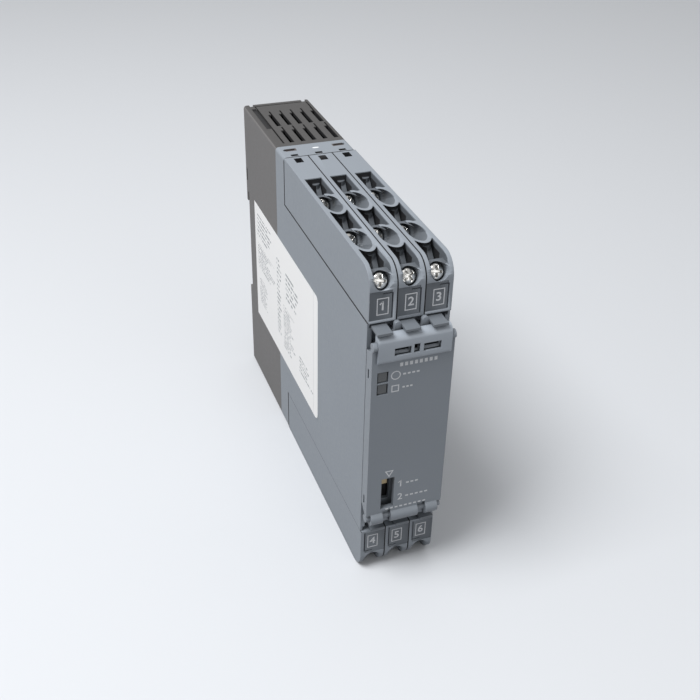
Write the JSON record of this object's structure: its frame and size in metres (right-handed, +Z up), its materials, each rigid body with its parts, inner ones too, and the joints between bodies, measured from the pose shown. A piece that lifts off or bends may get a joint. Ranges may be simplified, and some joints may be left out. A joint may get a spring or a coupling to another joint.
{
  "type": "safety relay",
  "caption": "Slim rail-mounted safety relay with screw terminals above and below, a hinged front cover, a start selector and air slots.",
  "frame": {"origin": "middle of the base, under the bounding box centre", "axes": "X across the rail, Y to the rear and the rail, Z up"},
  "size_m": [0.0226, 0.1216, 0.1],
  "materials": {
    "dark_plastic": "fine-grained",
    "grey_plastic": "fine-grained",
    "cover_plastic": "satin",
    "block_plastic": "fine-grained",
    "screw_steel": "bright plated",
    "cage_steel": "plated",
    "contact_metal": "tinned",
    "latch_plastic": "moulded",
    "spring_steel": "drawn wire",
    "board_laminate": "solder mask",
    "relay_case": "moulded",
    "core_steel": "varnished",
    "can_metal": "sleeved",
    "header_plastic": "moulded",
    "switch_plastic": "moulded",
    "selector_plastic": "moulded",
    "clear_plastic": "clear",
    "label_film": "printed film"
  },
  "bodies": {
    "case": {"rear_housing": "dark_plastic", "front_housing": "grey_plastic", "side_label": "label_film", "latch_spring": "spring_steel", "main_board": "board_laminate", "safety_relay_lower": "relay_case", "safety_relay_upper": "relay_case", "transformer": "core_steel", "capacitor": "can_metal", "upper_header": "header_plastic", "lower_header": "header_plastic", "light_guide": "clear_plastic", "switch_body": "switch_plastic", "contact_bars": "contact_metal", "terminal_block_1": "block_plastic", "terminal_block_2": "block_plastic", "terminal_block_3": "block_plastic", "terminal_block_4": "block_plastic", "terminal_block_5": "block_plastic", "terminal_block_6": "block_plastic"},
    "cover": {"front_cover": "cover_plastic", "window_lens": "clear_plastic"},
    "latch": {"rail_latch": "latch_plastic"},
    "selector": {"start_selector": "selector_plastic"},
    "screw_1_1": {"clamp_screw_1_1": "screw_steel"},
    "cage_1_1": {"clamp_cage_1_1": "cage_steel"},
    "screw_1_2": {"clamp_screw_1_2": "screw_steel"},
    "cage_1_2": {"clamp_cage_1_2": "cage_steel"},
    "screw_1_3": {"clamp_screw_1_3": "screw_steel"},
    "cage_1_3": {"clamp_cage_1_3": "cage_steel"},
    "screw_2_1": {"clamp_screw_2_1": "screw_steel"},
    "cage_2_1": {"clamp_cage_2_1": "cage_steel"},
    "screw_2_2": {"clamp_screw_2_2": "screw_steel"},
    "cage_2_2": {"clamp_cage_2_2": "cage_steel"},
    "screw_2_3": {"clamp_screw_2_3": "screw_steel"},
    "cage_2_3": {"clamp_cage_2_3": "cage_steel"},
    "screw_3_1": {"clamp_screw_3_1": "screw_steel"},
    "cage_3_1": {"clamp_cage_3_1": "cage_steel"},
    "screw_3_2": {"clamp_screw_3_2": "screw_steel"},
    "cage_3_2": {"clamp_cage_3_2": "cage_steel"},
    "screw_3_3": {"clamp_screw_3_3": "screw_steel"},
    "cage_3_3": {"clamp_cage_3_3": "cage_steel"},
    "screw_4_1": {"clamp_screw_4_1": "screw_steel"},
    "cage_4_1": {"clamp_cage_4_1": "cage_steel"},
    "screw_4_2": {"clamp_screw_4_2": "screw_steel"},
    "cage_4_2": {"clamp_cage_4_2": "cage_steel"},
    "screw_4_3": {"clamp_screw_4_3": "screw_steel"},
    "cage_4_3": {"clamp_cage_4_3": "cage_steel"},
    "screw_5_1": {"clamp_screw_5_1": "screw_steel"},
    "cage_5_1": {"clamp_cage_5_1": "cage_steel"},
    "screw_5_2": {"clamp_screw_5_2": "screw_steel"},
    "cage_5_2": {"clamp_cage_5_2": "cage_steel"},
    "screw_5_3": {"clamp_screw_5_3": "screw_steel"},
    "cage_5_3": {"clamp_cage_5_3": "cage_steel"},
    "screw_6_1": {"clamp_screw_6_1": "screw_steel"},
    "cage_6_1": {"clamp_cage_6_1": "cage_steel"},
    "screw_6_2": {"clamp_screw_6_2": "screw_steel"},
    "cage_6_2": {"clamp_cage_6_2": "cage_steel"},
    "screw_6_3": {"clamp_screw_6_3": "screw_steel"},
    "cage_6_3": {"clamp_cage_6_3": "cage_steel"}
  },
  "joints": [
    {"name": "cover_hinge", "type": "hinge", "parent": "case", "child": "cover", "pos_m": [0, -0.0584, 0.0223], "axis": [1, 0, 0], "range_deg": [0, 105]},
    {"name": "selector_slide", "type": "slide", "parent": "case", "child": "selector", "axis": [0, 0, 1], "range_m": [-0.0025, 0]},
    {"name": "latch_slide", "type": "slide", "parent": "case", "child": "latch", "axis": [0, 0, -1], "range_m": [0, 0.0045], "stiffness_N_per_m": 800, "springref_m": -0.004, "deforming": ["latch_spring"]},
    {"name": "screw_1_1_turn", "type": "hinge", "parent": "case", "child": "screw_1_1", "pos_m": [-0.0075, -0.0102, 0.0956], "axis": [0, 0.8829, -0.4695], "range_deg": [0, 1730]},
    {"name": "cage_1_1_slide", "type": "slide", "parent": "case", "child": "cage_1_1", "axis": [0, -0.8829, 0.4695], "range_m": [0, 0.0024]},
    {"name": "screw_1_2_turn", "type": "hinge", "parent": "case", "child": "screw_1_2", "pos_m": [-0.0075, -0.0321, 0.0956], "axis": [0, 0.8829, -0.4695], "range_deg": [0, 1730]},
    {"name": "cage_1_2_slide", "type": "slide", "parent": "case", "child": "cage_1_2", "axis": [0, -0.8829, 0.4695], "range_m": [0, 0.0024]},
    {"name": "screw_1_3_turn", "type": "hinge", "parent": "case", "child": "screw_1_3", "pos_m": [-0.0075, -0.054, 0.0956], "axis": [0, 0.8829, -0.4695], "range_deg": [0, 1730]},
    {"name": "cage_1_3_slide", "type": "slide", "parent": "case", "child": "cage_1_3", "axis": [0, -0.8829, 0.4695], "range_m": [0, 0.0024]},
    {"name": "screw_2_1_turn", "type": "hinge", "parent": "case", "child": "screw_2_1", "pos_m": [0, -0.0102, 0.0956], "axis": [0, 0.8829, -0.4695], "range_deg": [0, 1730]},
    {"name": "cage_2_1_slide", "type": "slide", "parent": "case", "child": "cage_2_1", "axis": [0, -0.8829, 0.4695], "range_m": [0, 0.0024]},
    {"name": "screw_2_2_turn", "type": "hinge", "parent": "case", "child": "screw_2_2", "pos_m": [0, -0.0321, 0.0956], "axis": [0, 0.8829, -0.4695], "range_deg": [0, 1730]},
    {"name": "cage_2_2_slide", "type": "slide", "parent": "case", "child": "cage_2_2", "axis": [0, -0.8829, 0.4695], "range_m": [0, 0.0024]},
    {"name": "screw_2_3_turn", "type": "hinge", "parent": "case", "child": "screw_2_3", "pos_m": [0, -0.054, 0.0956], "axis": [0, 0.8829, -0.4695], "range_deg": [0, 1730]},
    {"name": "cage_2_3_slide", "type": "slide", "parent": "case", "child": "cage_2_3", "axis": [0, -0.8829, 0.4695], "range_m": [0, 0.0024]},
    {"name": "screw_3_1_turn", "type": "hinge", "parent": "case", "child": "screw_3_1", "pos_m": [0.0075, -0.0102, 0.0956], "axis": [0, 0.8829, -0.4695], "range_deg": [0, 1730]},
    {"name": "cage_3_1_slide", "type": "slide", "parent": "case", "child": "cage_3_1", "axis": [0, -0.8829, 0.4695], "range_m": [0, 0.0024]},
    {"name": "screw_3_2_turn", "type": "hinge", "parent": "case", "child": "screw_3_2", "pos_m": [0.0075, -0.0321, 0.0956], "axis": [0, 0.8829, -0.4695], "range_deg": [0, 1730]},
    {"name": "cage_3_2_slide", "type": "slide", "parent": "case", "child": "cage_3_2", "axis": [0, -0.8829, 0.4695], "range_m": [0, 0.0024]},
    {"name": "screw_3_3_turn", "type": "hinge", "parent": "case", "child": "screw_3_3", "pos_m": [0.0075, -0.054, 0.0956], "axis": [0, 0.8829, -0.4695], "range_deg": [0, 1730]},
    {"name": "cage_3_3_slide", "type": "slide", "parent": "case", "child": "cage_3_3", "axis": [0, -0.8829, 0.4695], "range_m": [0, 0.0024]},
    {"name": "screw_4_1_turn", "type": "hinge", "parent": "case", "child": "screw_4_1", "pos_m": [-0.0075, -0.0102, 0.0044], "axis": [0, 0.8829, 0.4695], "range_deg": [0, 1730]},
    {"name": "cage_4_1_slide", "type": "slide", "parent": "case", "child": "cage_4_1", "axis": [0, -0.8829, -0.4695], "range_m": [0, 0.0024]},
    {"name": "screw_4_2_turn", "type": "hinge", "parent": "case", "child": "screw_4_2", "pos_m": [-0.0075, -0.0321, 0.0044], "axis": [0, 0.8829, 0.4695], "range_deg": [0, 1730]},
    {"name": "cage_4_2_slide", "type": "slide", "parent": "case", "child": "cage_4_2", "axis": [0, -0.8829, -0.4695], "range_m": [0, 0.0024]},
    {"name": "screw_4_3_turn", "type": "hinge", "parent": "case", "child": "screw_4_3", "pos_m": [-0.0075, -0.054, 0.0044], "axis": [0, 0.8829, 0.4695], "range_deg": [0, 1730]},
    {"name": "cage_4_3_slide", "type": "slide", "parent": "case", "child": "cage_4_3", "axis": [0, -0.8829, -0.4695], "range_m": [0, 0.0024]},
    {"name": "screw_5_1_turn", "type": "hinge", "parent": "case", "child": "screw_5_1", "pos_m": [0, -0.0102, 0.0044], "axis": [0, 0.8829, 0.4695], "range_deg": [0, 1730]},
    {"name": "cage_5_1_slide", "type": "slide", "parent": "case", "child": "cage_5_1", "axis": [0, -0.8829, -0.4695], "range_m": [0, 0.0024]},
    {"name": "screw_5_2_turn", "type": "hinge", "parent": "case", "child": "screw_5_2", "pos_m": [0, -0.0321, 0.0044], "axis": [0, 0.8829, 0.4695], "range_deg": [0, 1730]},
    {"name": "cage_5_2_slide", "type": "slide", "parent": "case", "child": "cage_5_2", "axis": [0, -0.8829, -0.4695], "range_m": [0, 0.0024]},
    {"name": "screw_5_3_turn", "type": "hinge", "parent": "case", "child": "screw_5_3", "pos_m": [0, -0.054, 0.0044], "axis": [0, 0.8829, 0.4695], "range_deg": [0, 1730]},
    {"name": "cage_5_3_slide", "type": "slide", "parent": "case", "child": "cage_5_3", "axis": [0, -0.8829, -0.4695], "range_m": [0, 0.0024]},
    {"name": "screw_6_1_turn", "type": "hinge", "parent": "case", "child": "screw_6_1", "pos_m": [0.0075, -0.0102, 0.0044], "axis": [0, 0.8829, 0.4695], "range_deg": [0, 1730]},
    {"name": "cage_6_1_slide", "type": "slide", "parent": "case", "child": "cage_6_1", "axis": [0, -0.8829, -0.4695], "range_m": [0, 0.0024]},
    {"name": "screw_6_2_turn", "type": "hinge", "parent": "case", "child": "screw_6_2", "pos_m": [0.0075, -0.0321, 0.0044], "axis": [0, 0.8829, 0.4695], "range_deg": [0, 1730]},
    {"name": "cage_6_2_slide", "type": "slide", "parent": "case", "child": "cage_6_2", "axis": [0, -0.8829, -0.4695], "range_m": [0, 0.0024]},
    {"name": "screw_6_3_turn", "type": "hinge", "parent": "case", "child": "screw_6_3", "pos_m": [0.0075, -0.054, 0.0044], "axis": [0, 0.8829, 0.4695], "range_deg": [0, 1730]},
    {"name": "cage_6_3_slide", "type": "slide", "parent": "case", "child": "cage_6_3", "axis": [0, -0.8829, -0.4695], "range_m": [0, 0.0024]}
  ],
  "couplings": [
    {"joint": "screw_1_1_turn", "follows": "cage_1_1_slide", "rad_per_m": 12566},
    {"joint": "screw_1_2_turn", "follows": "cage_1_2_slide", "rad_per_m": 12566},
    {"joint": "screw_1_3_turn", "follows": "cage_1_3_slide", "rad_per_m": 12566},
    {"joint": "screw_2_1_turn", "follows": "cage_2_1_slide", "rad_per_m": 12566},
    {"joint": "screw_2_2_turn", "follows": "cage_2_2_slide", "rad_per_m": 12566},
    {"joint": "screw_2_3_turn", "follows": "cage_2_3_slide", "rad_per_m": 12566},
    {"joint": "screw_3_1_turn", "follows": "cage_3_1_slide", "rad_per_m": 12566},
    {"joint": "screw_3_2_turn", "follows": "cage_3_2_slide", "rad_per_m": 12566},
    {"joint": "screw_3_3_turn", "follows": "cage_3_3_slide", "rad_per_m": 12566},
    {"joint": "screw_4_1_turn", "follows": "cage_4_1_slide", "rad_per_m": 12566},
    {"joint": "screw_4_2_turn", "follows": "cage_4_2_slide", "rad_per_m": 12566},
    {"joint": "screw_4_3_turn", "follows": "cage_4_3_slide", "rad_per_m": 12566},
    {"joint": "screw_5_1_turn", "follows": "cage_5_1_slide", "rad_per_m": 12566},
    {"joint": "screw_5_2_turn", "follows": "cage_5_2_slide", "rad_per_m": 12566},
    {"joint": "screw_5_3_turn", "follows": "cage_5_3_slide", "rad_per_m": 12566},
    {"joint": "screw_6_1_turn", "follows": "cage_6_1_slide", "rad_per_m": 12566},
    {"joint": "screw_6_2_turn", "follows": "cage_6_2_slide", "rad_per_m": 12566},
    {"joint": "screw_6_3_turn", "follows": "cage_6_3_slide", "rad_per_m": 12566}
  ]
}
